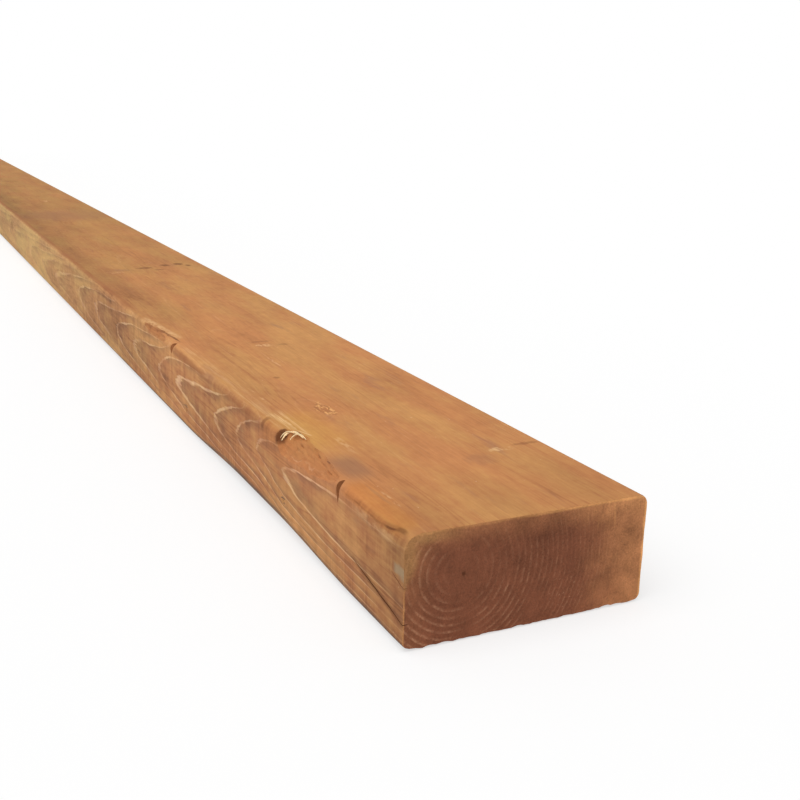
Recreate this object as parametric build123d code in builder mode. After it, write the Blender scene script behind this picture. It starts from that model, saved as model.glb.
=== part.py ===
"""Treated two-by-four: one softwood board, sawn and planed to its dressed section, with eased long edges, a waney
corner, wood torn out of one arris at the knots, and a drying check at one end. Millimetres, +Z up, +X along the
board towards the checked end, origin at the middle of the lower wide face."""

import os

from build123d import *

# Dressed section and stock length
LENGTH = 2438.4
WIDTH = 89.0
THICKNESS = 38.0
EDGE_RADIUS = 3.2

# Waney corner: how far the slanting facet runs along the upper front arris, and over each face at the end
WANE_LENGTH = 80.0
WANE_REACH = 3.8

# Wood torn out of the upper front arris: where each hollow is deepest from the checked end, how far it runs from
# there towards that end and away from it, and how far it reaches over each face from the sharp corner
SLIT_KNOT_FROM_END = 50.0
SLIT_KNOT_NEAR = 3.0
SLIT_KNOT_FAR = 3.5
SLIT_KNOT_REACH = 5.6
TORN_KNOT_FROM_END = 104.0
TORN_KNOT_NEAR = 46.0
TORN_KNOT_FAR = 6.0
TORN_KNOT_REACH = 6.5
PIN_KNOT_FROM_END = 268.0
PIN_KNOT_NEAR = 5.0
PIN_KNOT_FAR = 6.0
PIN_KNOT_REACH = 4.0
LONG_CHIP_FROM_END = 296.0
LONG_CHIP_NEAR = 17.0
LONG_CHIP_FAR = 47.0
LONG_CHIP_REACH = 5.0

# Drying check in the front edge face: a split that opens at the end and closes along the grain
CHECK_LENGTH = 40.0
CHECK_HEIGHT = 9.0
CHECK_RISE = 7.0
CHECK_MOUTH = 0.9
CHECK_DEPTH = 2.5

checked_end = LENGTH / 2
front_face = -WIDTH / 2
torn_places = [
    (SLIT_KNOT_FROM_END, SLIT_KNOT_NEAR, SLIT_KNOT_FAR, SLIT_KNOT_REACH),
    (TORN_KNOT_FROM_END, TORN_KNOT_NEAR, TORN_KNOT_FAR, TORN_KNOT_REACH),
    (PIN_KNOT_FROM_END, PIN_KNOT_NEAR, PIN_KNOT_FAR, PIN_KNOT_REACH),
    (LONG_CHIP_FROM_END, LONG_CHIP_NEAR, LONG_CHIP_FAR, LONG_CHIP_REACH),
]

with BuildPart() as two_by_four:
    # The planed board
    with BuildSketch(Plane.YZ.offset(-LENGTH / 2)):
        with Locations((0, THICKNESS / 2)):
            RectangleRounded(WIDTH, THICKNESS, EDGE_RADIUS)
    extrude(amount=LENGTH)

    # The waney corner is cut by one slanting plane that leaves the arris where the wane ends
    wane_end = Vector(checked_end - WANE_LENGTH, front_face, THICKNESS)
    wane_on_top = Vector(checked_end, front_face + WANE_REACH, THICKNESS)
    wane_on_front = Vector(checked_end, front_face, THICKNESS - WANE_REACH)
    outwards = (wane_on_front - wane_end).cross(wane_on_top - wane_end)
    split(bisect_by=Plane(wane_end, z_dir=outwards), keep=Keep.BOTTOM)

    # Each torn place tapers both ways along the grain: a double cone turned about the sharp corner of the arris
    for from_end, near, far, reach in torn_places:
        arris = Plane((checked_end - from_end, front_face, THICKNESS), x_dir=(1, 0, 0), z_dir=(0, -1, 0))
        with BuildSketch(arris):
            with BuildLine():
                Polyline((-far, 0), (0, reach), (near, 0), close=True)
            make_face()
        revolve(axis=Axis(arris.origin, arris.x_dir), mode=Mode.SUBTRACT)

    # The drying check runs in from the end and rises with the grain
    edge_face = Plane((checked_end, front_face, CHECK_HEIGHT), x_dir=(-1, 0, 0), z_dir=(0, 1, 0))
    with BuildSketch(edge_face):
        with BuildLine():
            Polyline((0, -CHECK_MOUTH / 2), (CHECK_LENGTH, CHECK_RISE), (0, CHECK_MOUTH / 2), close=True)
        make_face()
    extrude(amount=CHECK_DEPTH, mode=Mode.SUBTRACT)

two_by_four.part.label = "two_by_four"
os.makedirs("parts", exist_ok=True)
export_step(two_by_four.part, "parts/two_by_four.step")
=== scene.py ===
"""Looks of a treated two-by-four: a planed softwood board with growth rings, knots and a torn arris.

Lengths are millimetres along the board's own axes unless a name says otherwise: x runs along the board to the
checked end, y across it from the front edge to the back one, z up through its thickness."""

import math
from collections import namedtuple
from functools import partial

import bpy
from mathutils import Matrix, Vector


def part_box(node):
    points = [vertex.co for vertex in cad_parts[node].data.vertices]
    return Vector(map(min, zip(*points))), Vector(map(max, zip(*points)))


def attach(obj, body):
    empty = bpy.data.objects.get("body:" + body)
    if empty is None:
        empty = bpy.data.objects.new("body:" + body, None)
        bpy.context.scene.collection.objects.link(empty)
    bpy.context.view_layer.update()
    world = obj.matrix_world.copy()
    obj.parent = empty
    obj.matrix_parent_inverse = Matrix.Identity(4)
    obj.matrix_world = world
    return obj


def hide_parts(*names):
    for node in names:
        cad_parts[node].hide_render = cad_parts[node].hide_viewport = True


bl_info = {
    "name": "Treated two-by-four",
    "version": (1, 0, 0),
    "blender": (4, 5, 0),
    "location": "View3D > Sidebar > Two-by-four",
    "description": "Builds a planed and treated softwood board with its figure, knots and torn arris",
    "category": "Add Mesh",
}

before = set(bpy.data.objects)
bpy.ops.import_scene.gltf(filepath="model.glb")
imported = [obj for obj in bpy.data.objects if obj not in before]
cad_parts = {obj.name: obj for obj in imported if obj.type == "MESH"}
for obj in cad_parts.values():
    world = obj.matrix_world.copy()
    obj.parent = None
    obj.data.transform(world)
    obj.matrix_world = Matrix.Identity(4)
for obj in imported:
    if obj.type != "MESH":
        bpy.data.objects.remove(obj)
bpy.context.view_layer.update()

NODE = "two_by_four"
BODY = "root"
BAKE_MAP = "OFBake"
TORN_MARK = "torn"

# The board, read from the frame
MM = 0.001
LOW, HIGH = (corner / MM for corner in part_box(NODE))
LENGTH, WIDTH, THICKNESS = HIGH - LOW
CHECKED_END = HIGH.x
FRONT = LOW.y
BACK = HIGH.y
TOP = HIGH.z

# Growth rings: how far the pith lies behind the front edge and above the lower face, by distance from the end
PITH_SPAN = 800.0
PITH_RANGE = 100.0
PITH_COURSE = (
    (0, 18.2, 23.4), (60, 19.0, 23.4), (100, 20.6, 23.4), (132, 22.8, 25.4), (162, 25.0, 23.1),
    (199, 27.1, 21.4), (268, 29.2, 21.8), (299, 31.2, 19.7), (353, 33.1, 19.6), (405, 35.0, 18.6),
    (477, 36.8, 19.2), (543, 38.7, 18.6), (630, 40.4, 16.0), (700, 42.2, 15.5), (800, 43.9, 16.0),
)
PITH_DRIFT = 0.012
RINGS_PER_MM = 0.3
RINGS_CLOSING = 0.00335
RING_OFFSET = 0.4
RING_SEED = 3470

# Knots: place, the way the branch points seen from the end (0 back, 90 up, 180 front), half-width across the
# grain, length along it for that width, how far in the branch shows, how dark it is, and how pale round it
Knot = namedtuple("Knot", "from_end across up facing radius stretch reach dark pale")
KNOTS = (
    Knot(131, -16.6, 38, 90, 3.0, 2.2, 18, 0.3, 1.0),
    Knot(104, -44.5, 11.5, 190, 1.0, 1.2, 12, 0.55, 0.4),
    Knot(243, -44.5, 10.5, 190, 1.3, 1.2, 12, 0.5, 0.2),
    Knot(343, -44.5, 17.0, 190, 1.1, 1.2, 12, 0.5, 0.2),
    Knot(905, -44.5, 24, 178, 4.0, 1.5, 30, 0.3, 0.0),
    Knot(512, 3, 0, 268, 6.0, 1.4, 20, 0.6, 0.3),
    Knot(120, 12, 0, 280, 5.0, 1.4, 18, 0.55, 0.3),
    Knot(1325, -12, 38, 96, 5.5, 1.5, 22, 0.5, 0.3),
    Knot(1335, 44.5, 15, -4, 5.0, 1.4, 24, 0.5, 0.3),
    Knot(1790, 10, 0, 262, 6.0, 1.4, 20, 0.55, 0.3),
    Knot(1800, 20, 38, 80, 4.5, 1.6, 20, 0.5, 0.3),
    Knot(2230, 44.5, 22, 8, 5.0, 1.4, 24, 0.5, 0.3),
    Knot(2215, -30, 38, 104, 4.0, 1.5, 20, 0.5, 0.3),
)
KNOT_LIFT = 0.5

# Wood torn out of the upper front arris: where a hollow is deepest from the end, how far it runs towards that
# end and away from it, its reach over the upper face and down the front, how blunt its tips are, how round
# its section is (1 a flat facet, 2 a round hollow), and how fresh the wood in it looks
TornPlace = namedtuple("TornPlace", "from_end near far reach drop blunt round fresh")
TORN_PLACES = (
    TornPlace(50.5, 1.5, 1.6, 2.8, 8.0, 0.5, 2.0, 0.36),
    TornPlace(106.0, 54.0, 6.0, 8.0, 8.0, 0.4, 1.1, 0.5),
    TornPlace(268.0, 2.6, 2.6, 3.2, 4.8, 0.5, 2.0, 0.38),
    TornPlace(298.0, 24.0, 46.0, 2.6, 3.4, 0.5, 1.1, 0.43),
)
TORN_RAGGED = 0.16

# Marks on the upper face by what they show: from the end, across, half their length and width, and strength
FACE_MARKS = {
    "Pale": (
        (59.3, 24, 2.4, 6.5, 0.9), (28, -35.5, 9, 1, 0.6), (86, -27, 12, 2, 0.5), (118, -37, 10, 0.7, 1),
        (123, -34.9, 9, 0.7, 0.9), (130.3, -40.6, 1.1, 2.6, 0.8), (158, -34.9, 15, 0.9, 0.5),
        (214, -8.7, 11, 0.9, 0.6), (248.5, -2.2, 3.4, 5.5, 0.8), (497, -25, 5, 9, 0.35),
        (1012, 4.6, 12, 2.8, 0.9),
    ),
    "Dark": (
        (61.4, 36, 1.6, 7, 0.4), (185.6, -17.6, 2.2, 1.8, 0.45), (257, -1.5, 2.6, 7.5, 0.3),
        (247.6, 8.2, 2, 3.4, 0.35), (519, 15.5, 5.5, 4, 0.75), (522, 26, 5.5, 4.2, 0.85),
        (514, 31.5, 4.5, 2.6, 0.7), (511, -1, 5, 7, 0.6), (501, 7, 3.6, 5, 0.4), (1285, 0, 20, 12, 0.25),
    ),
    "Shade": ((52, 11, 7, 7, 0.35), (34, -37.5, 12, 0.9, 0.4), (506, -19, 6, 9, 0.5), (865, 2, 62, 52, 0.45)),
}

# Fibres that stand up where the arris is torn: the start, middle and end of their line, each from the end,
# behind the front edge and below the upper face, then width and thickness
Splinter = namedtuple("Splinter", "start bend end width thickness")
SPLINTERS = (
    Splinter((107.4, 0.9, 3.0), (108.9, 5.3, 0.58), (99.6, 6.6, 0.55), 1.0, 0.5),
    Splinter((105.0, 3.4, 2.4), (104.8, 6.4, 0.5), (97.5, 6.9, 0.5), 0.6, 0.4),
    Splinter((109.6, 1.2, 2.6), (109.8, 3.8, 0.7), (106.5, 5.4, 0.5), 0.5, 0.35),
)
SPLINTER_FRESH = 1.0

# Rounder stretches of the upper and lower front arris
WANE_LENGTH = 60.0
WANE_RADIUS = 6.6
WORN_START = 75.0
WORN_STOP = 200.0
WORN_SLOPE = 40.0
WORN_EXTRA = 3.6

# Patches of the ends where the rings show through the stain: across, up, reach and strength
END_RING_PATCHES = (
    (-37, 7, 17, 1.0), (-40, 27, 13, 0.95), (-33, 24, 8, 0.7), (-10, 9, 14, 0.7), (-12, 27, 14, 0.3),
    (3, 20, 14, 0.5), (14, 33, 13, 0.35), (14, 8, 13, 0.4), (26, 18, 16, 0.35), (35, 37, 9, 0.9),
)

# Other spots on the ends: across, up and reach
END_PITH = (-24.0, 22.2, 1.0)
END_FLECKS = (13.5, 9.0, 9.0)
END_DIM = (4.0, 29.0, 15.0)

# How far from an end a face belongs to it, and how long the noise on the ends is along the board
END_DEPTH = 1.5
END_RUN = 300.0

# Drying checks in the front edge: height at the end, rise, length, mouth and depth
Check = namedtuple("Check", "height rise length mouth depth")
CHECKS = (
    Check(9.0, 7.0, 40.0, 0.9, 2.5),
    Check(21.0, 2.2, 9.0, 0.6, 1.6),
)
CHECK_FRESH = 0.3
CHECK_WAVE = 0.22
CHECK_OVER = 2.0

# Map for baking, in shares of its width: rows of the long sides from each start towards the checked end, with
# their heights for the upper face, the front edge, the lower face and the back edge
Side = namedtuple("Side", "axis sign low high chart")
LONG_SIDES = ((2, 1), (1, -1), (2, -1), (1, 1))
END_SIDES = ((0, 1), (0, -1))
MAP_ROWS = (
    (500.0, (0.166, 0.098, 0.078, 0.055)),
    (1450.0, (0.078, 0.045, 0.053, 0.033)),
    (LENGTH, (0.062, 0.037, 0.045, 0.029)),
)
MAP_INSET = 0.02
MAP_GAP = 0.004
ENDS_HEIGHT = 0.15
ENDS_WIDTH = ENDS_HEIGHT * WIDTH / THICKNESS
CUTS_LEFT = 3 * MAP_GAP + 2 * ENDS_WIDTH
CUTS_WIDTH = 1.0 - MAP_GAP - CUTS_LEFT
CUT_ROWS = 0.005
HOLLOWS_BOTTOM = 0.068
HOLLOWS_HEIGHT = 0.042
SPLINTERS_BOTTOM = 0.114
SPLINTER_ROWS = 0.0022

# What stain and fresh wood do to a colour
RUDDY = (1.05, 0.95, 0.92)
GOLDEN = (0.98, 1.03, 0.93)
ORANGE = (1.05, 0.97, 0.80)
GOLD = (1.02, 1.04, 0.86)

SHARP_ANGLE = math.radians(40)
TINY = 1e-6
FLOAT, WHOLE = "NodeSocketFloat", "NodeSocketInt"
VECTOR, GEOMETRY = "NodeSocketVector", "NodeSocketGeometry"


def setting(name, description, default, kind=bpy.props.FloatProperty, **limits):
    """A value that a user may change."""
    return kind(name=name, description=description, default=default, **limits)


count_setting = partial(setting, kind=bpy.props.IntProperty)
length_setting = partial(setting, unit="LENGTH")
angle_setting = partial(setting, subtype="ANGLE")
vector_setting = partial(setting, kind=bpy.props.FloatVectorProperty, size=3)
colour_setting = partial(vector_setting, subtype="COLOR", min=0, max=1)


def wood_colour(name, description, *screen):
    """A colour that a user may change, given by its eight-bit screen colour."""
    shares = (value / 255 for value in screen)
    linear = (share / 12.92 if share <= 0.04045 else ((share + 0.055) / 1.055) ** 2.4 for share in shares)
    return colour_setting(name, description, tuple(linear))


class TwoByFourShape(bpy.types.PropertyGroup):
    """Sizes of the board's surface."""

    edge_radius: length_setting("Edge radius", "Radius of the eased long edges", 3.2 * MM)
    cells_along: count_setting("Cells along", "Mesh cells along the board", 380, min=20)
    cells_across: count_setting("Cells across", "Mesh cells across the wide faces", 76, min=8)
    cells_through: count_setting("Cells through", "Mesh cells across the narrow edges", 40, min=8)
    near_crowding: setting("Crowding", "Size of the cells at the checked end for the mean", 0.15, min=0.05)
    saw_relief: length_setting("Saw relief", "Depth of the saw marks on the ends", 0.35 * MM)
    knot_relief: length_setting("Knot relief", "Depth of the hollows round the knots", 0.5 * MM)
    rim_relief: length_setting("Rim relief", "Depth of the splinters at the lower rim of the ends", 0.6 * MM)


class TwoByFourColours(bpy.types.PropertyGroup):
    """Colours of the treated wood."""

    planed: wood_colour("Planed wood", "Soft wood on the planed faces", 196, 138, 89)
    planed_far: wood_colour("Planed wood, far", "Browner wood away from the checked end", 176, 127, 79)
    edge: wood_colour("Front edge", "Soft wood on the narrow edges", 194, 137, 92)
    edge_far: wood_colour("Front edge, far", "Paler edge away from the checked end", 226, 180, 124)
    pale_ring: wood_colour("Pale ring", "Dense late wood that takes little stain", 230, 188, 148)
    ring_shade: wood_colour("Ring shade", "Stained wood behind each pale ring", 150, 108, 82)
    smudge: wood_colour("Smudge", "Greyish stain on the planed faces", 150, 106, 86)
    stain: wood_colour("Stain", "Reddish stain along the upper front edge", 156, 99, 64)
    fibres: wood_colour("Lifted fibres", "Pale fibres along the upper front edge", 234, 190, 136)
    worn: colour_setting("Worn patch", "Greyish wood at the corner of the end", (0.40, 0.30, 0.18))
    # Grey grime and painted shade along the lower front edge, where its faces turn downwards
    grime_and_shade: wood_colour("Grime", "Grey dirt along the lower front edge", 104, 90, 80)
    knot: wood_colour("Knot", "Heart of the knots", 140, 82, 48)
    knot_fibres: wood_colour("Knot fibres", "Golden fibres round the knots", 240, 186, 120)
    # Also the paint of the painted shade under the lifted fibre and the chip, in the crease and along the
    # check
    knot_rim_and_shade: wood_colour("Knot rim", "Dark line round the knots", 92, 52, 32)
    fresh: wood_colour("Torn wood", "Fresh wood where the arris is torn", 248, 218, 170)
    torn: wood_colour("Stained tear", "Stained wood where the arris is torn", 176, 114, 70)
    sawn: wood_colour("Sawn end", "Stained end grain", 132, 80, 57)
    sawn_ring: wood_colour("Sawn ring", "Late wood on the end grain", 190, 138, 106)
    sawn_shade: wood_colour("Sawn shade", "Stained wood between the rings of the end", 106, 62, 44)
    sawn_rim: wood_colour("Sawn rim", "End grain towards the edges", 204, 140, 92)
    sawn_corner: wood_colour("Sawn corner", "Golden end grain at the upper front corner", 188, 142, 88)
    sawn_worn: wood_colour("Worn edge", "Paler line along the upper and back edges", 232, 166, 104)


class TwoByFourStage(bpy.types.PropertyGroup):
    """The floor, the light and the camera."""

    floor_colour: colour_setting("Floor", "Colour of the floor", (0.8, 0.8, 0.8))
    sky_strength: setting("Sky", "Light from all round", 0.42, min=0)
    key_strength: setting("Key light", "Strength of the light overhead", 2.0, min=0)
    key_width: angle_setting("Key width", "How wide the light overhead looks", math.radians(70))
    key_from: vector_setting(
        "Key from", "Direction that the light overhead comes from", (0.24, -0.37, 0.9), subtype="DIRECTION")
    camera_place: vector_setting(
        "Camera", "Where the camera stands", (1.48112, -0.17662, 0.16263), subtype="TRANSLATION")
    camera_yaw: angle_setting("Yaw", "Turn from looking along the board to its back", math.radians(26.318))
    camera_pitch: angle_setting("Pitch", "Look down", math.radians(15.847))
    camera_roll: angle_setting("Roll", "Turn about the line of sight", math.radians(-1.282))
    camera_lens: setting("Lens", "Focal length for a 36 mm sensor", 48.63, min=1)


def put(value, socket):
    """Links a field to an input, or sets the input to a plain value."""
    if isinstance(value, Field):
        value.graph.tree.links.new(value.socket, socket)
    else:
        socket.default_value = value


def give(sockets, **values):
    """Links or sets inputs by name."""
    for name, value in values.items():
        put(value, sockets[name])


class Graph:
    """Adds nodes to a shader or geometry tree."""

    def __init__(self, tree):
        self.tree = tree

    def add(self, kind, inputs=None, **settings):
        """A new node with its settings and inputs, which are named or numbered."""
        node = self.tree.nodes.new(kind)
        for name, value in settings.items():
            setattr(node, name, value)
        for name, value in (inputs or {}).items():
            put(value, node.inputs[name])
        return node

    def field(self, kind, inputs=None, output=0, **settings):
        """One output of a new node."""
        return Field(self, self.add(kind, inputs, **settings).outputs[output])

    def fields(self, kind, inputs=None, **settings):
        """All outputs of a new node by name."""
        node = self.add(kind, inputs, **settings)
        return {socket.name: Field(self, socket) for socket in node.outputs}


def graph_of(*values):
    """The graph of the first field among some values."""
    return next(value.graph for value in values if isinstance(value, Field))


def reckon(operation, *values):
    """A number reckoned from fields and plain numbers."""
    return graph_of(*values).field("ShaderNodeMath", dict(enumerate(values)), operation=operation)


def most(first, *others):
    """The greatest of some numbers."""
    for other in others:
        first = reckon("MAXIMUM", first, other)
    return first


def least(first, second):
    return reckon("MINIMUM", first, second)


def hypot(first, second):
    """The length of a step with these two parts."""
    return reckon("SQRT", first * first + second * second)


def reckoned(operation):
    """A way to reckon with a field and a second value."""
    return lambda field, other: reckon(operation, field, other)


class Field:
    """An output of a node. A field of numbers can be reckoned with like a number."""

    def __init__(self, graph, socket):
        self.graph = graph
        self.socket = socket

    __add__ = __radd__ = reckoned("ADD")
    __mul__ = __rmul__ = reckoned("MULTIPLY")
    __sub__ = reckoned("SUBTRACT")
    __truediv__ = reckoned("DIVIDE")
    __pow__ = reckoned("POWER")
    __gt__ = reckoned("GREATER_THAN")
    __lt__ = reckoned("LESS_THAN")

    def __rsub__(self, other):
        return reckon("SUBTRACT", other, self)

    def __abs__(self):
        return reckon("ABSOLUTE", self)

    def ease(self, start, end, low=0.0, high=1.0):
        """Goes smoothly from low at start to high at end."""
        inputs = {0: self, 1: start, 2: end, 3: low, 4: high}
        return self.graph.field("ShaderNodeMapRange", inputs, interpolation_type="SMOOTHSTEP")

    def band(self, middle, half):
        """1 at the middle, fading to 0 at half a width away."""
        return abs(self - middle).ease(half, 0.25 * half)

    def window(self, start, end, soft):
        """1 between two limits, with soft sides."""
        return self.ease(start - soft, start + soft) * self.ease(end + soft, end - soft)

    def kept(self, low, high):
        """The value, held between two limits."""
        return least(most(self, low), high)


def vector(operation, *values):
    """A vector, or the dot product, reckoned from vectors."""
    output = "Value" if operation == "DOT_PRODUCT" else "Vector"
    inputs = dict(enumerate(values))
    return graph_of(*values).field("ShaderNodeVectorMath", inputs, output, operation=operation)


def scaled(whole, scale):
    """A vector or a colour times a number."""
    inputs = {0: whole, "Scale": scale}
    return graph_of(whole, scale).field("ShaderNodeVectorMath", inputs, operation="SCALE")


def split(whole):
    """The three parts of a vector."""
    return tuple(whole.graph.fields("ShaderNodeSeparateXYZ", {0: whole}).values())


def join(*parts):
    """A vector of three parts."""
    return graph_of(*parts).field("ShaderNodeCombineXYZ", dict(enumerate(parts)))


def noise_at(point, sizes, detail=2.0, roughness=0.5, distortion=0.0, shift=0.0):
    """Noise of about -1 to 1 whose lumps have these sizes along x, y and z."""
    place = vector("ADD", vector("DIVIDE", point, sizes), (shift, shift, shift))
    value = point.graph.field("ShaderNodeTexNoise", {
        "Vector": place, "Scale": 1.0, "Detail": detail, "Roughness": roughness, "Distortion": distortion})
    return reckon("MULTIPLY_ADD", value, 4.0, -2.0)


def course(value, points):
    """A smooth curve through points whose two numbers run from 0 to 1."""
    node = value.graph.add("ShaderNodeFloatCurve", {"Value": value})
    curve = node.mapping.curves[0]
    for place, height in points[1:-1]:
        curve.points.new(place, height)
    for point, (place, height) in zip(curve.points, points):
        point.location = place, height
        point.handle_type = "AUTO_CLAMPED"
    node.mapping.update()
    return Field(value.graph, node.outputs[0])


def mix(share, first, second, blend="MIX"):
    """A colour between two others."""
    def full(colour):
        return colour if isinstance(colour, Field) else (*colour, 1.0)

    graph = graph_of(share, first, second)
    inputs = {0: share, 6: full(first), 7: full(second)}
    return graph.field("ShaderNodeMix", inputs, 2, data_type="RGBA", blend_type=blend)


def tinted(colour, tint):
    """A colour times another."""
    return mix(1.0, colour, tint, "MULTIPLY")


def new_group(name, kind, inputs, outputs):
    """The graph of a new node group, its inputs by name and the sockets of its output node."""
    tree = bpy.data.node_groups.new(name, kind)
    for way, sockets in (("INPUT", inputs), ("OUTPUT", outputs)):
        for label, socket in sockets.items():
            tree.interface.new_socket(label, in_out=way, socket_type=socket)
    graph = Graph(tree)
    return graph, graph.fields("NodeGroupInput"), graph.add("NodeGroupOutput").inputs


def shader_group(name, *outputs):
    """A group for a point of the wood: its tree, the point, noise there and its output sockets."""
    graph, given, result = new_group(name, "ShaderNodeTree", {"Point": VECTOR}, dict.fromkeys(outputs, FLOAT))
    point = given["Point"]
    return graph.tree, point, partial(noise_at, point), result


def grouped(tree, point):
    """The outputs of a shader group at a point."""
    return point.graph.fields("ShaderNodeGroup", {"Point": point}, node_tree=tree)


def branch_distance(point, knot):
    """Distance from a branch's axis in its own radii, large where the branch can't be seen."""
    turn = math.radians(knot.facing)
    away = vector("SUBTRACT", point, (CHECKED_END - knot.from_end, knot.across, knot.up))
    out = vector("DOT_PRODUCT", away, (0, math.cos(turn), math.sin(turn)))
    aside = vector("DOT_PRODUCT", away, (0, -math.sin(turn), math.cos(turn)))
    along = vector("DOT_PRODUCT", away, (1 / knot.stretch, 0, 0))
    far = hypot(aside, along)
    soft = 0.35 * knot.reach
    hidden = out.ease(soft - knot.reach, -soft - knot.reach, 0.0, 2.5)
    return far * (1 / knot.radius) + hidden


def figure_group():
    """Growth rings and knots at a point of the wood."""
    tree, point, noise, result = shader_group(
        "Wood Figure", "Phase", "Vigour", "Radius", "Heart", "Rim", "Bright")
    x, y, z = split(point)
    along = most(CHECKED_END - x, 0.0)
    span = least(along / PITH_SPAN, 1.0)
    depths = [(place / PITH_SPAN, depth / PITH_RANGE) for place, depth, _ in PITH_COURSE]
    heights = [(place / PITH_SPAN, height / PITH_RANGE) for place, _, height in PITH_COURSE]
    drift = most(along - PITH_SPAN, 0.0) * PITH_DRIFT
    depth = course(span, depths) * PITH_RANGE + drift
    height = course(span, heights) * PITH_RANGE
    radius = hypot(y - (depth + FRONT), z - height)

    # The rings wander, and fray along the fibres
    wander = noise((150, 22, 22), 1.0)
    ripple = noise((40, 7, 7), shift=7.0)
    fray = noise((16, 1.1, 1.1), shift=8.0)
    bent = (wander * 0.45 + ripple * 0.11 + fray * 0.1) * radius.ease(2.0, 18.0) + radius

    # Knots push the rings aside
    mottled = noise((4, 2.2, 2.2), 3.0, shift=13.0) * 0.4 + noise((9, 8, 8), 1.0, shift=15.0) * 0.35
    heart, rim, bright = 0.0, 0.0, 0.0
    for knot in KNOTS:
        distance = branch_distance(point, knot)
        push = reckon("EXPONENT", distance * distance * -0.3)
        bent = bent - push * (KNOT_LIFT * knot.radius)
        rough = distance + mottled
        heart = most(heart, rough.ease(1.2, 0.6, 0.0, knot.dark))
        rim = most(rim, rough.band(1.05, 0.35) * knot.dark)
        if knot.pale:
            strokes = most(rough.band(0.4, 0.22), rough.band(1.05, 0.34))
            bright = most(bright, strokes * knot.pale)
    rings = bent * (bent * RINGS_CLOSING + RINGS_PER_MM) + RING_OFFSET
    year = reckon("FLOOR", rings) + RING_SEED
    gaps = noise((3.5, 1.3, 1.3), shift=16.0).ease(-0.35, 0.35)
    give(
        result, Phase=reckon("FRACT", rings), Radius=bent, Heart=heart, Rim=rim, Bright=bright * gaps,
        Vigour=year.graph.field("ShaderNodeTexWhiteNoise", {"W": year}, "Value", noise_dimensions="1D"))
    return tree


def face_marks(along, across, kind, ragged):
    """The soft marks of one kind on the upper face, with ragged outlines."""
    total = 0.0
    for place, middle, length, width, strength in FACE_MARKS[kind]:
        far = hypot((along - place) / length, (across - middle) / width)
        total = most(total, (ragged * 0.3 + far).ease(1.1, 0.4, 0.0, strength))
    return total


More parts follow.
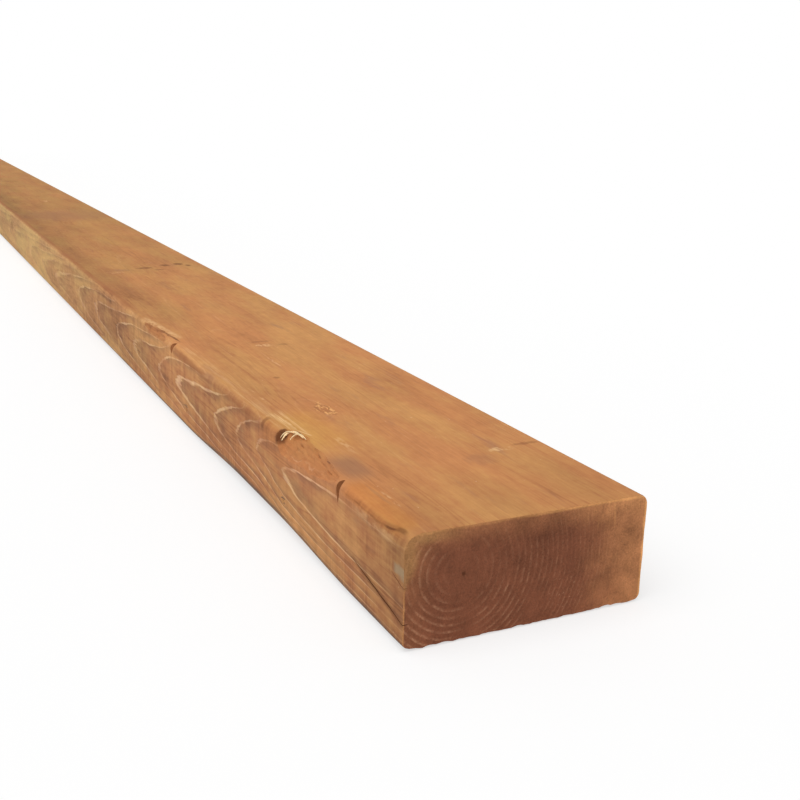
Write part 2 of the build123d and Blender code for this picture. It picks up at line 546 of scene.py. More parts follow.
def arris_group():
    """Marks along the upper front arris and on the front edge: stain, lifted fibres, and painted shade in a
    dent, in a crease, under the fibres and the chip and along the check.
    """
    tree, point, noise, result = shader_group(
        "Arris Marks", "Pale", "Gold", "Orange", "Shade", "Stain", "Dark", "Worn")
    x, y, z = split(point)
    along = CHECKED_END - x
    inset = y - FRONT
    down = TOP - z
    ragged = noise((6, 2, 2), 3.0)
    front = inset.ease(2.5, 1.0)
    upper = down.ease(2.0, 0.6)

    # Lifted fibres, the golden ridge, a long pale chip and flaked wood under the waney corner
    strands = noise((22, 1.1, 1.1), 3.0, shift=3.0).ease(-0.5, 0.9)
    pale = along.window(104, 134, 5) * inset.window(4, 11, 2.5) * upper * strands ** 2.0 * 1.5
    stray = inset * 3.0 + along
    pale = most(pale, along.window(100, 107.5, 0.8) * stray.band(130.0, 1.8) * upper)
    pale = most(pale, along.window(112, 262, 8) * inset.band(4.5, 4.0) * upper * strands * 0.45)
    crest = along * 0.086 + (ragged * 0.9 + inset)
    chip = along.window(281, 336, 5) * crest.band(31.6, 2.7) * down.ease(3.0, 1.5)
    pale = most(pale, chip * ragged.ease(-0.7, 0.6, 0.15, 0.8))
    under_wane = along.window(9, 36, 4) * (down - inset).band(4.6, 2.6) * inset.ease(3, 1.5)
    pale = most(pale, under_wane * ragged.ease(-0.4, 0.5) * 0.4)
    flaked = upper * noise((4, 1.6, 1.6), shift=81.0).ease(-0.4, 0.5)
    pale = most(pale, face_marks(along, y, "Pale", ragged) * flaked)

    # Golden wood round the torn knot, in the waney corner and below the knot
    gold = along.window(84, 132, 10) * inset.window(3, 22, 6) * upper
    dish = along.window(5, 46, 4) * inset.ease(12, 5) * down.ease(4.0, 2.2)
    ruddy = along.window(104, 127, 4) * down.ease(14, 6) * front * 0.6
    give(result, Pale=pale, Gold=gold, Orange=most(dish, ruddy))

    # Painted shade in a shallow greyish dent behind the slit, and stain that gathered along the arris
    stretches = most(along.window(128, 286, 10), along.ease(340, 380))
    patchy = noise((45, 8, 8), shift=51.0).ease(-1.2, 0.6)
    lean = ragged * 0.6 + (down - inset) - along.ease(300, 345, 2.0, -1.5)
    stain = lean.band(0.0, 3.2) * inset.ease(9, 5) * down.ease(9, 5) * stretches * patchy
    dent_shade = along.band(62.0, 17.0) * inset.band(9.5, 8.0) * upper * 0.85
    shade = most(face_marks(along, y, "Shade", ragged) * upper, dent_shade)
    give(result, Shade=shade, Stain=stain)

    # Painted shadow under the lifted fibre, and dark stain where a branch reached the arris
    dark = (ragged * 0.8 + along).band(110.5, 2.8) * inset.ease(5, 3) * down.ease(6.5, 4)
    dark = most(dark, along.band(127.5, 2.2) * down.ease(6, 3) * inset.ease(4, 2) * 0.5)

    # Painted shade in the crease below the waney corner: a dark wavy line, darkest near the end
    wave = noise((10, 5, 5), shift=86.0)
    crease = wave * 0.8 + (down - inset) - along.ease(3, 16, -0.6, 2.2)
    line = most(crease.band(0.0, 0.8), crease.band(-0.5, 2.4) * 0.4)
    gaps = (noise((9, 9, 9), shift=87.0) - along.band(40.0, 14.0)).ease(-0.7, 0.5, 0.25, 0.95)
    dark = most(dark, along.window(4, 45, 3) * inset.ease(5, 2.5) * line * gaps)
    dark = most(dark, along.band(6.5, 4.5) * crease.band(-0.4, 1.8) * inset.ease(6, 3) * 0.75)

    # Painted shade in a dark line under the chip's ridge and along the check, and dark marks on the upper
    # face
    under_chip = along.window(272, 326, 5) * crest.band(28.9, 1.1) * down.ease(5, 3)
    dark = most(dark, under_chip * along.ease(330, 280, 0.35, 0.85) * wave.ease(-0.9, 0.4, 0.3, 1.0))
    check = CHECKS[0]
    gash = z - (along * (check.rise / check.length) + check.height)
    dark = most(dark, (ragged * 0.4 + gash).band(0.1, 1.7) * along.ease(44, 26) * front * 0.6)
    dark = most(dark, face_marks(along, y, "Dark", ragged) * upper)

    # A worn grey patch at the corner of the end
    worn = along.ease(8, 5) * (down + ragged).band(12.7, 2.6) * front
    give(result, Dark=dark, Worn=worn)
    return tree


def grain_group():
    """Fine fibres, dark grain lines, planer marks and stain that run along the board."""
    tree, point, noise, result = shader_group(
        "Fine Grain", "Fibre", "Line", "Dash", "Blotch", "Hue", "Smudge", "Knife", "Speck")
    patch = noise((70, 16, 16), shift=6.0).ease(-0.7, 0.7)
    fibre = noise((50, 1.7, 1.7), 3.0, 0.6)
    streak = noise((70, 4.0, 4.0), 3.0, distortion=0.4, shift=4.0)
    level = abs(noise((110, 5.5, 5.5), distortion=0.5, shift=9.0))
    blotch = noise((65, 20, 20), 3.0, shift=11.0)
    mottle = noise((6, 4, 4), 4.0, 0.65, shift=14.0)
    knife = noise((1.5, 90, 90), shift=21.0)
    patches = noise((7, 16, 16), 3.0, shift=22.0)
    give(
        result,
        Fibre=fibre * patch * 0.8 + streak,
        Line=level.ease(0.16, 0.0) * (1.0 - patch),
        Dash=noise((9, 0.9, 0.9), shift=3.0),
        Blotch=mottle * 0.55 + blotch,
        Hue=noise((70, 22, 22), 3.0, shift=23.0),
        Smudge=noise((45, 9, 9), 3.0, 0.6, shift=29.0).ease(0.35, 1.1),
        Knife=knife * patch + patches,
        Speck=noise((2.2, 1.3, 1.3), 1.0, shift=61.0).ease(1.0, 1.4))
    return tree


def new_material(name):
    """A material, its Principled shader, and the point in millimetres with the noise there."""
    material = bpy.data.materials.new(name)
    material.use_nodes = True
    graph = Graph(material.node_tree)
    shader = material.node_tree.nodes["Principled BSDF"].inputs
    shader["Specular IOR Level"].default_value = 0.1
    point = scaled(graph.field("ShaderNodeTexCoord", output="Object"), 1 / MM)
    return material, shader, point, partial(noise_at, point)


def finish_surface(shader, colour, roughness, height, depth):
    """Links the colour, the roughness and a relief of this depth in millimetres."""
    bump = height.graph.field("ShaderNodeBump", {"Strength": 1.0, "Distance": depth * MM, "Height": height})
    give(shader, **{"Base Color": colour, "Roughness": roughness, "Normal": bump})


def ring_masks(phase, start):
    """The pale line and the stained shade of one growth ring, whose pale line starts at this phase."""
    past = phase - start
    pale = past.ease(0.0, 0.09) * phase.ease(1.0, 0.95)
    shade = past.ease(-0.6, 0.0) * past.ease(0.06, 0.0)
    return pale, shade


def planed_softwood(colours, figure, grain, arris):
    """Planed long faces: rings drawn out into pale lines, knots, torn wood and stain."""
    material, shader, point, noise = new_material("planed_softwood")
    x, y, z = split(point)
    from_end = CHECKED_END - x
    wood = grouped(figure, point)

    # Soft wood, browner along the wide faces and paler along the edges away from the end
    edge = abs(y).ease(BACK - 2.6, BACK - 0.3)
    wide = mix(from_end.ease(150, 900), colours.planed, colours.planed_far)
    narrow = mix(from_end.ease(200, 820), colours.edge, colours.edge_far)
    colour = mix(edge, wide, narrow)

    # Rings: bold on the edges where they run out, faint on the wide faces
    weight = noise((30, 6, 6), shift=31.0)
    pale, shade = ring_masks(wood["Phase"], weight * -0.09 + 0.83)
    fade = from_end.ease(350, 800, 1.0, 0.5)
    reach = z.ease(3.0, 13.0, 0.5, 1.0) * z.ease(37.0, 32.5, 0.12, 1.0)
    broken = noise((22, 6, 6), 3.0, shift=37.0).ease(-0.9, 0.8, 0.25, 1.0)
    vigour = wood["Vigour"] * 0.5 + 0.5
    bold = edge * reach * 0.88 + 0.12
    near_end = from_end.ease(56, 42) * z.ease(20, 26) * -0.65 + 1.0
    strength = vigour * bold * fade * broken * near_end
    colour = mix(shade * strength * 0.85, colour, colours.ring_shade)
    colour = mix(pale * strength, colour, colours.pale_ring)

    # Knots
    colour = mix(wood["Heart"], colour, colours.knot)
    colour = mix(wood["Rim"] * 0.8, colour, colours.knot_rim_and_shade)
    colour = mix(wood["Bright"] * broken.ease(0.2, 0.7) * 0.8, colour, colours.knot_fibres)

    # Fibres, stain and planer marks, stronger on the edges
    fine = grouped(grain, point)
    fibre, dash = fine["Fibre"], fine["Dash"]
    knife = fine["Knife"] * edge
    uneven = fibre * 0.05 + fine["Blotch"] * 0.15 + dash * 0.06 + fine["Line"] * -0.14
    uneven = uneven + knife * from_end.ease(300, 750, 0.09, 0.03) + (wood["Vigour"] - 0.5) * edge * 0.12
    calm = from_end.ease(350, 900) * (edge * -0.5 - 0.1)
    uneven = uneven * (edge * 0.5 + calm + 1.0)

    # Darker tone near the upper front arris, in a lane far along the wide faces and towards the end, and
    # painted shade along the upper back arris
    gain = y.ease(FRONT + 28, FRONT + 8) * from_end.ease(250, 420) * from_end.ease(500, 1000, -0.2, -0.28)
    gain = gain + y.band(-15, 17) * from_end.ease(650, 850) * -0.07
    gain = gain + from_end.ease(60, 2) * (edge * -0.19 - 0.08)
    gain = gain + from_end.window(105, 200, 25) * edge * -0.05
    gain = gain + from_end.window(10, 100, 8) * edge * z.ease(20, 27, 0.0, 0.09)
    # Painted shade: a dark line on the rounding of the upper back arris
    gain = gain + y.ease(BACK - 2.2, BACK - 0.8) * z.ease(TOP - 3.2, TOP - 1.6) * -0.35
    colour = scaled(colour, uneven + gain + 1.0)
    hue = uneven * -5.0 + fine["Hue"] * 0.8
    colour = mix(hue.ease(-0.8, 0.8), tinted(colour, GOLDEN), tinted(colour, RUDDY))
    colour = mix(fine["Smudge"] * from_end.ease(300, 900, 0.4, 0.15), colour, colours.smudge)
    colour = mix(fine["Speck"] * 0.5, colour, colours.pale_ring)

    # Marks along the torn arris
    mark = grouped(arris, point)
    colour = mix(mark["Orange"], colour, tinted(colour, ORANGE))
    colour = mix(mark["Gold"], colour, tinted(colour, GOLD))
    # Painted shade in the dent behind the slit, with darker patches of tone on the upper face
    colour = mix(mark["Shade"] * 0.75, colour, colours.ring_shade)
    colour = mix(mark["Stain"] * 0.75, colour, colours.stain)
    colour = mix(mark["Pale"] * 0.75, colour, colours.fibres)
    colour = mix(mark["Worn"] * 0.7, colour, colours.worn)

    # Painted shade and grey grime round the lower front arris: darker where the faces turn downwards, and in
    # a striped band near the lower face
    upwards = split(point.graph.field("ShaderNodeNewGeometry", output="Normal"))[2]
    # Painted shade where the faces turn downwards, near the end
    under = upwards.ease(0.05, -0.3) * from_end.ease(520, 320)
    under = under * noise((18, 3, 3), 3.0, shift=92.0).ease(-0.8, 0.3, 0.35, 1.0)
    striped = noise((1.6, 6, 6), shift=91.0).ease(-0.6, 0.4, 0.45, 0.9)
    grime_and_shade_band = z.ease(4.4, 2.6) * from_end.window(14, 95, 14) * striped
    low = most(under, grime_and_shade_band) * y.ease(FRONT + 9, FRONT + 5)
    colour = mix(low * 0.8, colour, colours.grime_and_shade)

    # Walls of the tears and checks, and the fibres that stand up in them
    fresh = point.graph.field("ShaderNodeAttribute", output="Fac", attribute_name=TORN_MARK)
    fibrous = noise((14, 0.9, 0.9), 3.0, shift=71.0)
    wall = mix(fresh.ease(0.2, 0.5), colours.knot_rim_and_shade, colours.torn)
    wall = mix(fresh.ease(0.5, 1.0), wall, colours.fresh)
    wall = scaled(wall, fibrous * 0.16 + 1.0)
    covered = fresh.band(0.5, 0.14) * -0.55 + fresh.ease(0.05, 0.15)
    colour = mix(covered, colour, wall)
    # Dark marks: painted shade under the lifted fibre and the chip, in the crease and along the check, and
    # real dark marks by the knots and on the upper face
    colour = mix(mark["Dark"] * fresh.ease(0.95, 0.85) * 0.8, colour, colours.knot_rim_and_shade)

    height = fibre * 0.2 + dash * 0.25 + knife * 0.2
    finish_surface(shader, colour, fibre * 0.03 + 0.8, height, 0.12)
    return material


def spot(point, across, up, reach):
    """A soft round patch on the end grain."""
    _, y, z = split(vector("SUBTRACT", point, (0, across, up)))
    return hypot(y, z).ease(reach, 0.35 * reach)


def sawn_end_grain(colours, figure):
    """Sawn ends: dark stained end grain with soft pale arcs of late wood and paler rims."""
    material, shader, point, noise = new_material("sawn_end_grain")
    _, y, z = split(point)
    wood = grouped(figure, point)

    # Rings show where the stain is thin
    phase = wood["Phase"]
    pale = phase.ease(0.5, 0.82) * phase.ease(1.0, 0.92)
    shade = phase.ease(0.0, 0.1) * phase.ease(0.6, 0.2)
    shown = 0.12
    for across, up, reach, strength in END_RING_PATCHES:
        shown = most(shown, spot(point, across, up, reach) * strength)
    shown = shown * wood["Radius"].ease(2.0, 12.0, 0.2, 0.88)
    broken = noise((END_RUN, 3, 3), 4.0, 0.65, shift=5.0).ease(-0.6, 0.9, 0.05, 1.0)
    strength = shown * broken * (wood["Vigour"] * 0.5 + 0.5)
    colour = mix(pale * strength, colours.sawn, colours.sawn_ring)
    colour = mix(shade * strength * 0.5, colour, colours.sawn_shade)

    # Paler wood towards the upper, back and front edges, and at the upper front corner
    to_top = TOP - z
    to_back = BACK - y
    to_front = y - FRONT
    ragged = noise((END_RUN, 7, 7), 5.0, 0.65, shift=9.0) * 1.6
    rim = (to_top + ragged).ease(9.0, 0.0) * y.ease(4, 42, 0.3, 1.1)
    colour = mix(rim, colour, colours.sawn_rim)
    colour = mix((to_back + ragged * 2.5).ease(30.0, 0.0) * 0.68, colour, colours.sawn_rim)
    teeth = noise((END_RUN, 0.75, 25), shift=45.0).ease(0.1, 0.9) * y.ease(18, 34) * to_top.ease(13, 5)
    colour = mix(teeth * 0.8, colour, colours.sawn_worn)
    left = (to_front + ragged).ease(12.0, 1.0) * z.ease(12, 34, 0.3, 1.0)
    colour = mix(left * 0.3, colour, colours.sawn_rim)
    corner = least(to_top, to_front * 0.8 + z.ease(30, 14, 0.0, 5.0))
    corner = (ragged * 0.3 + corner).ease(5.0, 2.0) * to_front.ease(24, 6)
    colour = mix(corner * 0.5, colour, colours.sawn_corner)

    # Thin worn lines along the upper, back and front edges
    worn = (ragged * 0.2 + least(to_top, to_back)).ease(1.3, 0.3) * y.ease(-20, 30, 0.3, 0.95)
    colour = mix(worn, colour, colours.sawn_worn)
    front_line = (ragged * 0.2 + to_front).ease(0.9, 0.2) * z.ease(24, 16)
    colour = mix(front_line * 0.6, colour, colours.sawn_worn)

    # Pith, pale flecks and the speckle of cut fibres
    flecks = spot(point, *END_FLECKS) * noise((END_RUN, 1.1, 1.1), shift=41.0).ease(0.4, 1.0)
    colour = mix(flecks * 0.6, colour, colours.sawn_ring)
    colour = mix(spot(point, *END_PITH) * 0.8, colour, colours.knot_rim_and_shade)
    speck = noise((20, 0.8, 0.8), 3.0, 0.7)
    cloud = noise((END_RUN, 7, 7), 5.0, 0.6, shift=17.0) * y.ease(15, 38, 0.2, 0.3)
    dim = spot(point, *END_DIM) * -0.14
    colour = scaled(colour, speck * 0.22 + cloud + dim + z.ease(12, 4, 1.0, 1.1))
    height = speck * 0.4 + pale * strength * 0.6
    finish_surface(shader, colour, speck * 0.03 + 0.85, height, 0.25)
    return material


def here(graph):
    """The position field."""
    return graph.field("GeometryNodeInputPosition")


def facing(graph, output="Normal"):
    """The normal field."""
    return graph.field("GeometryNodeInputNormal", output=output)


def on_faces(whole):
    """The parts of a vector field with one value for each face."""
    node = "GeometryNodeFieldOnDomain"
    return split(whole.graph.field(node, {0: whole}, domain="FACE", data_type="FLOAT_VECTOR"))


def moved(geometry, position):
    """The geometry with its points at a new position."""
    return geometry.graph.field("GeometryNodeSetPosition", {"Geometry": geometry, "Position": position})


def stored(geometry, name, value, kind, domain):
    """The geometry with a named attribute."""
    inputs = {"Geometry": geometry, "Name": name, "Value": value}
    return geometry.graph.field("GeometryNodeStoreNamedAttribute", inputs, data_type=kind, domain=domain)


def mapped(geometry, chart):
    """The geometry with its map for baking."""
    return stored(geometry, BAKE_MAP, chart, "FLOAT2", "CORNER")


def marked(geometry, fresh):
    """The geometry of a cut, marked with how fresh its wood looks."""
    return stored(geometry, TORN_MARK, fresh, "FLOAT", "FACE")


def cells(graph, size, counts):
    """A box of this size that has these numbers of points along its sides."""
    names = ("Vertices X", "Vertices Y", "Vertices Z")
    return graph.field("GeometryNodeMeshCube", {"Size": size, **dict(zip(names, counts))})


def laid_out(side, place, axis, start, size):
    """Where a point of a side comes to lie along one direction of the map."""
    gain = size / (side.high[axis] - side.low[axis])
    return place[axis] * gain + (start - side.low[axis] * gain)


def store_map(mesh, sides):
    """Stores the map for baking, which lays each side of a box out flat in its own place."""
    position = here(mesh.graph)
    normal = on_faces(facing(mesh.graph))
    middle = on_faces(position)[0]
    place = split(position)
    across, up = 0.0, 0.0
    for side in sides:
        picked = normal[side.axis] * side.sign > 0.5
        if side.axis:
            picked = picked * (middle > side.low[0]) * (middle < side.high[0])
        first, second = (axis for axis in range(3) if axis != side.axis)
        left, bottom, width, height = side.chart
        across = laid_out(side, place, first, left, width) * picked + across
        up = laid_out(side, place, second, bottom, height) * picked + up
    return mapped(mesh, join(across, up, 0.0))


def board_sides():
    """The sides of the board in its map: long rows, larger near the checked end, above the two ends."""
    sides = []
    bottom = ENDS_HEIGHT + 2 * MAP_GAP
    stop = HIGH.x
    for start, heights in MAP_ROWS:
        begin = CHECKED_END - start
        for (axis, sign), height in zip(LONG_SIDES, heights):
            low, high = (begin, FRONT, 0.0), (stop, BACK, TOP)
            sides.append(Side(axis, sign, low, high, (MAP_INSET, bottom, 1.0 - 2 * MAP_INSET, height)))
            bottom += height + MAP_GAP
        stop = begin
    for place, (axis, sign) in enumerate(END_SIDES):
        chart = (MAP_GAP + place * (ENDS_WIDTH + MAP_GAP), MAP_GAP, ENDS_WIDTH, ENDS_HEIGHT)
        sides.append(Side(axis, sign, tuple(LOW), tuple(HIGH), chart))
    return sides


def small_box(graph, size, counts, bottom, row, number):
    """A box of cells whose six sides lie in the map one above the other, to the right of the ends."""
    low, high = tuple(-0.5 * side for side in size), tuple(0.5 * side for side in size)
    sides = []
    for place, (axis, sign) in enumerate((*LONG_SIDES, *END_SIDES)):
        chart = (CUTS_LEFT, bottom + (6 * number + place) * row, CUTS_WIDTH, 0.6 * row)
        sides.append(Side(axis, sign, low, high, chart))
    return store_map(cells(graph, size, counts), sides)


def planed_block(graph, given):
    """A box of cells, crowded towards the checked end, with its long edges eased."""
    counts = [given["Cells " + side] + 1.0 for side in ("Along", "Across", "Through")]
    block = cells(graph, (LENGTH, WIDTH, THICKNESS), counts)
    x, y, z = split(here(graph))
    share = (LENGTH / 2 - x) / LENGTH
    crowding = given["Crowding"]
    from_end = (share * crowding + share * share * share * (1.0 - crowding)) * LENGTH
    block = moved(block, join(CHECKED_END - from_end, y, z + THICKNESS / 2))
    block = store_map(block, board_sides())

    # Each point outside the flat of a face is drawn in from the square corner to the arc
    x, y, z = split(here(graph))

    def beyond(offset, half):
        flat = half - given["Edge Radius"]
        held = offset.kept(flat * -1.0, flat)
        return held, offset - held

    held_y, out_y = beyond(y, WIDTH / 2)
    held_z, out_z = beyond(z - TOP / 2, THICKNESS / 2)
    square = most(abs(out_y), abs(out_z))
    draw = square / most(hypot(out_y, out_z), TINY)
    return moved(block, join(x, out_y * draw + held_y, out_z * draw + held_z + TOP / 2))


def rounder_corner(board, radius, face, up):
    """Rounds the front corner at one wide face to a radius that changes along the board."""
    x, y, z = split(here(board.graph))
    out_y = least(y - (radius + FRONT), 0.0)
    out_z = most((z - face) * up + radius, 0.0)
    far = most(hypot(out_y, out_z), TINY)
    less = least(radius / far, 1.0) - 1.0
    return moved(board, join(x, out_y * less + y, z + out_z * less * up))


def worn_corners(board, given):
    """The upper front corner is rounder towards the end, and the lower one along a worn stretch."""
    radius = given["Edge Radius"]
    from_end = CHECKED_END - split(here(board.graph))[0]
    wane = from_end.ease(WANE_LENGTH, -0.4 * WANE_LENGTH) * (WANE_RADIUS - radius)
    board = rounder_corner(board, radius + wane, TOP, 1.0)
    worn = from_end.window(WORN_START, WORN_STOP, WORN_SLOPE) * WORN_EXTRA
    return rounder_corner(board, radius + worn, 0.0, -1.0)


def surface_relief(board, given):
    """Sinks the surrounds of the knots, the saw marks and the lower rim of the ends below the flat faces."""
    point = here(board.graph)
    dips = 0.0
    for knot in KNOTS:
        ring = abs(branch_distance(point, knot) - 1.1)
        dips = most(dips, ring.ease(0.9, 0.1, 0.0, knot.dark))
    to_end = LENGTH / 2 - abs(split(point)[0])
    normal = facing(board.graph)
    end = abs(split(normal)[0]).ease(0.4, 0.8)
    chatter = noise_at(point, (40, 2.5, 9), 3.0, shift=2.0).ease(-1.2, 1.2)
    sink = (dips * given["Knot Relief"] + end * chatter * given["Saw Relief"]) * -1.0
    board = moved(board, vector("ADD", point, scaled(normal, sink)))

    # Splintered lower rim, and nothing outside the box of the solid
    point = here(board.graph)
    x, y, z = split(point)
    teeth = noise_at(point, (30, 4, 30), 3.0, shift=19.0).ease(-0.4, 1.2)
    raised = z + teeth * to_end.ease(9.0, 0.0) * z.ease(6.0, 0.0) * given["Rim Relief"]
    return moved(board, join(x.kept(LOW.x, HIGH.x), y.kept(FRONT, BACK), raised.kept(0.0, TOP)))


def torn_hollow(graph, place, number):
    """The ragged double cone that one torn place takes out of the upper front arris."""
    length = place.near + place.far
    cone = graph.fields("GeometryNodeMeshCylinder", {
        "Vertices": 36, "Side Segments": 44, "Radius": 1.0, "Depth": length}, fill_type="TRIANGLE_FAN")
    width = CUTS_WIDTH / len(TORN_PLACES)
    chart = vector("MULTIPLY", cone["UV Map"], (0.9 * width, HOLLOWS_HEIGHT, 0.0))
    chart = vector("ADD", chart, (CUTS_LEFT + number * width, HOLLOWS_BOTTOM, 0.0))
    hollow = mapped(cone["Mesh"], chart)

    # The cylinder's own axis comes to lie along the arris, with the near end of the hollow at its top
    across, up, axis = split(here(graph))
    from_end = place.from_end + place.far - length / 2 - axis
    near = (from_end - (place.from_end - place.near)) / place.near
    far = (place.from_end + place.far - from_end) / place.far
    share = most(least(near, far), 0.0) ** place.blunt
    x = CHECKED_END - from_end
    flat = (abs(across) ** place.round + abs(up) ** place.round) ** (1 / place.round)
    on_wall = join(x, across * place.reach, up * place.drop)
    ragged = noise_at(on_wall, (9, 1.4, 1.4), 3.0, shift=number) * TORN_RAGGED + 1.0
    size = most(share, 0.01) * (ragged / most(flat, 0.5))
    wall = join(x, across * (size * place.reach) + FRONT, up * (size * place.drop) + TOP)
    return marked(moved(hollow, wall), place.fresh)


def splinter(graph, strip, number):
    """A lifted fibre that is bent along a curve through three places and is thin at both ends."""
    size = (1.0, strip.width, strip.thickness)
    fibre = small_box(graph, size, (20, 4, 3), SPLINTERS_BOTTOM, SPLINTER_ROWS, number)
    along, aside, over = split(here(graph))
    share = along + 0.5
    rest = 1.0 - share

    def between(first, second):
        return vector("ADD", scaled(first, rest), scaled(second, share))

    start, through, end = (
        (CHECKED_END - from_end, FRONT + inset, TOP - down)
        for from_end, inset, down in (strip.start, strip.bend, strip.end))
    bend = tuple(2 * b - 0.5 * (a + c) for a, b, c in zip(start, through, end))
    first, second = between(start, bend), between(bend, end)
    middle = between(first, second)
    heading = vector("SUBTRACT", second, first)
    sideways = vector("NORMALIZE", vector("CROSS_PRODUCT", (0.0, 0.0, 1.0), heading))
    thin = abs(along).ease(0.5, 0.2, 0.3, 1.0)
    middle = vector("ADD", middle, scaled(sideways, aside * thin))
    middle = vector("ADD", middle, join(0.0, 0.0, over * thin))
    return marked(moved(fibre, middle), SPLINTER_FRESH)


def drying_check(graph, check, number):
    """A thin wavy wedge to cut out of the front edge."""
    size = (check.length + CHECK_OVER, check.depth + CHECK_OVER, check.mouth)
    wedge = small_box(graph, size, (28, 4, 3), MAP_GAP, CUT_ROWS, number)
    x, y, z = split(here(graph))
    inwards = size[0] / 2 - CHECK_OVER - x
    deep = y + (size[1] / 2 - CHECK_OVER)
    share = inwards / check.length
    close = reckon("SQRT", most(1.0 - share, 0.001)) * share.ease(0.0, 0.4, 0.6, 1.2)
    close = close * deep.ease(check.depth, -CHECK_OVER, 0.15, 1.0)
    x = CHECKED_END - inwards
    y = deep + FRONT
    wave = noise_at(join(x, y, 0.0), (9, 9, 9)) * CHECK_WAVE
    wall = z * close + (share * check.rise + check.height + wave)
    return marked(moved(wedge, join(x, y, wall)), CHECK_FRESH)


def board_tree(planed, sawn, values):
    """The geometry tree of the whole board, with an input for each of these values."""
    inputs = {name: WHOLE if isinstance(value, int) else FLOAT for name, value in values.items()}
    graph, given, result = new_group("Two-by-four Board", "GeometryNodeTree", inputs, {"Geometry": GEOMETRY})
    board = planed_block(graph, given)
    board = worn_corners(board, given)
    board = surface_relief(board, given)

    # The checks and tears are cut out, and the lifted fibres join the rest
    cutting = graph.add(
        "GeometryNodeMeshBoolean", {"Mesh 1": board}, operation="DIFFERENCE", solver="MANIFOLD")
    joined = graph.add("GeometryNodeJoinGeometry", {0: Field(graph, cutting.outputs["Mesh"])})
    cuts, loose = cutting.inputs["Mesh 2"], joined.inputs[0]
    for make, places, socket in (
            (drying_check, CHECKS, cuts), (torn_hollow, TORN_PLACES, cuts), (splinter, SPLINTERS, loose)):
        for number, place in enumerate(places):
            put(make(graph, place, number), socket)

    # Sharp edges, metres and materials
    board = Field(graph, joined.outputs[0])
    sharp = graph.field("GeometryNodeInputMeshEdgeAngle") > SHARP_ANGLE
    board = graph.field("GeometryNodeSetShadeSmooth", {
        "Geometry": board, "Selection": sharp, "Shade Smooth": False}, domain="EDGE")
    board = graph.field("GeometryNodeTransform", {"Geometry": board, "Scale": (MM, MM, MM)})
    at_end = abs(split(here(graph))[0]) > (CHECKED_END - END_DEPTH) * MM
    faces_end = abs(split(facing(graph, "True Normal"))[0]) > 0.7
    board = graph.field("GeometryNodeRealizeInstances", {"Geometry": board})
    board = graph.field("GeometryNodeSetMaterial", {"Geometry": board, "Material": planed})
    board = graph.field("GeometryNodeSetMaterial", {
        "Geometry": board, "Selection": at_end * faces_end, "Material": sawn})
    put(board, result["Geometry"])
    return graph.tree


def mesh_from_tree(name, tree, values):
    """A plain mesh object from a geometry tree whose inputs have these values."""
    holder = bpy.data.objects.new(name, bpy.data.meshes.new(name))
    bpy.context.scene.collection.objects.link(holder)
    modifier = holder.modifiers.new(name, "NODES")
    modifier.node_group = tree
    for item in tree.interface.items_tree:
        if item.in_out == "INPUT":
            modifier[item.identifier] = values[item.name]
    depsgraph = bpy.context.evaluated_depsgraph_get()
    mesh = bpy.data.meshes.new_from_object(holder.evaluated_get(depsgraph), depsgraph=depsgraph)
    holder.modifiers.clear()
    blank = holder.data
    holder.data = mesh
    bpy.data.meshes.remove(blank)
    mesh.name = name
    return holder


class TWO_BY_FOUR_OT_board(bpy.types.Operator):
    """Make the board in place of its plain solid"""

    bl_idname = "two_by_four.board"
    bl_label = "Board"

    def execute(self, context):
        shape, colours = context.scene.two_by_four_shape, context.scene.two_by_four_colours
        figure = figure_group()
        planed = planed_softwood(colours, figure, grain_group(), arris_group())
        sawn = sawn_end_grain(colours, figure)
        values = {
            "Cells Along": shape.cells_along, "Cells Across": shape.cells_across,
            "Cells Through": shape.cells_through, "Crowding": shape.near_crowding,
            "Edge Radius": shape.edge_radius / MM, "Saw Relief": shape.saw_relief / MM,
            "Knot Relief": shape.knot_relief / MM, "Rim Relief": shape.rim_relief / MM,
        }
        board = mesh_from_tree("treated_board", board_tree(planed, sawn, values), values)
        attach(board, BODY)
        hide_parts(NODE)
        return {"FINISHED"}


def seen_directly(graph):
    """1 where the camera, a mirror or glass shows the surface."""
    path = graph.fields("ShaderNodeLightPath")
    return most(path["Is Camera Ray"], path["Is Glossy Ray"], path["Is Transmission Ray"])


def lay_floor(stage):
    """A wide pale floor just under the board that is white to the eye and keeps a soft shadow."""
    half, under = 20.0, -0.0004
    mesh = bpy.data.meshes.new("floor")
    corners = [(-half, -half, under), (half, -half, under), (half, half, under), (-half, half, under)]
    mesh.from_pydata(corners, [], [(0, 1, 2, 3)])
    floor = bpy.data.objects.new("floor", mesh)
    bpy.context.scene.collection.objects.link(floor)
    material = bpy.data.materials.new("pale_floor")
    material.use_nodes = True
    graph = Graph(material.node_tree)
    nodes = material.node_tree.nodes
    nodes.remove(nodes["Principled BSDF"])
    direct = seen_directly(graph)

    # Whiter away from the board, in metres
    x, y, _ = split(graph.field("ShaderNodeTexCoord", output="Object"))
    end = HIGH.x * MM
    away = most(abs(y).ease(0.12, 0.45), abs(x).ease(end + 0.02, end + 0.3))
    paint = mix(direct, tuple(stage.floor_colour), (1.0, 1.0, 1.0))
    lit = graph.field("ShaderNodeBsdfDiffuse", {"Color": paint})
    white = graph.field("ShaderNodeEmission", {"Color": (1, 1, 1, 1), "Strength": 1.0})
    share = direct * (away * 0.4 + 0.6)
    surface = graph.field("ShaderNodeMixShader", {0: share, 1: lit, 2: white})
    put(surface, nodes["Material Output"].inputs["Surface"])
    mesh.materials.append(material)


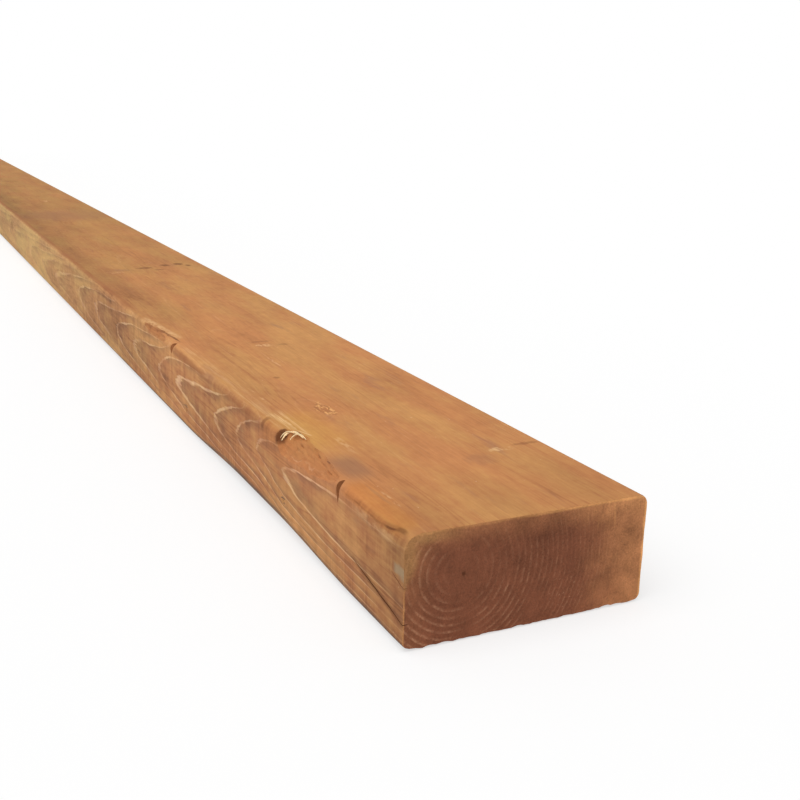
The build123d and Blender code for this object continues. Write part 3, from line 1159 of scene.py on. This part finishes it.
def light_stage(stage):
    """Even light from all round and a wide soft lamp overhead."""
    world = bpy.data.worlds.new("studio")
    bpy.context.scene.world = world
    world.use_nodes = True
    graph = Graph(world.node_tree)
    sky = stage.sky_strength
    strength = seen_directly(graph) * (1.0 - sky) + sky
    give(world.node_tree.nodes["Background"].inputs, Color=(1, 1, 1, 1), Strength=strength)
    lamp = bpy.data.lights.new("overhead", "SUN")
    lamp.energy = stage.key_strength
    lamp.angle = stage.key_width
    lamp_object = bpy.data.objects.new("overhead", lamp)
    lamp_object.rotation_euler = (-Vector(stage.key_from)).to_track_quat("-Z", "Y").to_euler()
    bpy.context.scene.collection.objects.link(lamp_object)


def place_camera(stage):
    """The camera looks along the board towards its far end, a little down and across."""
    quarter = math.pi / 2
    heading = Matrix.Rotation(quarter - stage.camera_yaw, 4, "Z")
    tilt = Matrix.Rotation(quarter - stage.camera_pitch, 4, "X")
    roll = Matrix.Rotation(-stage.camera_roll, 4, "Z")
    camera = bpy.data.cameras.new("camera")
    camera.lens = stage.camera_lens
    camera.clip_start = 0.01
    eye = bpy.data.objects.new("camera", camera)
    eye.matrix_world = Matrix.Translation(stage.camera_place) @ heading @ tilt @ roll
    bpy.context.scene.collection.objects.link(eye)
    bpy.context.scene.camera = eye


class TWO_BY_FOUR_OT_stage(bpy.types.Operator):
    """Set the floor, the light and the camera"""

    bl_idname = "two_by_four.stage"
    bl_label = "Stage"

    def execute(self, context):
        stage = context.scene.two_by_four_stage
        lay_floor(stage)
        light_stage(stage)
        place_camera(stage)
        context.scene.view_settings.view_transform = "Standard"
        return {"FINISHED"}


class VIEW3D_PT_two_by_four(bpy.types.Panel):
    """Lists the board's settings and the steps that make it."""

    bl_label = "Two-by-four"
    bl_space_type = "VIEW_3D"
    bl_region_type = "UI"
    bl_category = "Two-by-four"

    def draw(self, context):
        for operator in OPERATORS:
            self.layout.operator(operator.bl_idname)
        for name in GROUPS:
            group = getattr(context.scene, name)
            box = self.layout.box()
            for setting in group.__annotations__:
                box.prop(group, setting)


OPERATORS = (TWO_BY_FOUR_OT_board, TWO_BY_FOUR_OT_stage)
GROUPS = {
    "two_by_four_shape": TwoByFourShape,
    "two_by_four_colours": TwoByFourColours,
    "two_by_four_stage": TwoByFourStage,
}
CLASSES = (*GROUPS.values(), *OPERATORS, VIEW3D_PT_two_by_four)


def register():
    for kind in CLASSES:
        bpy.utils.register_class(kind)
    for name, kind in GROUPS.items():
        setattr(bpy.types.Scene, name, bpy.props.PointerProperty(type=kind))


def unregister():
    for name in GROUPS:
        delattr(bpy.types.Scene, name)
    for kind in reversed(CLASSES):
        bpy.utils.unregister_class(kind)


def main():
    register()
    bpy.ops.two_by_four.board()
    bpy.ops.two_by_four.stage()


if __name__ == "__main__":
    main()
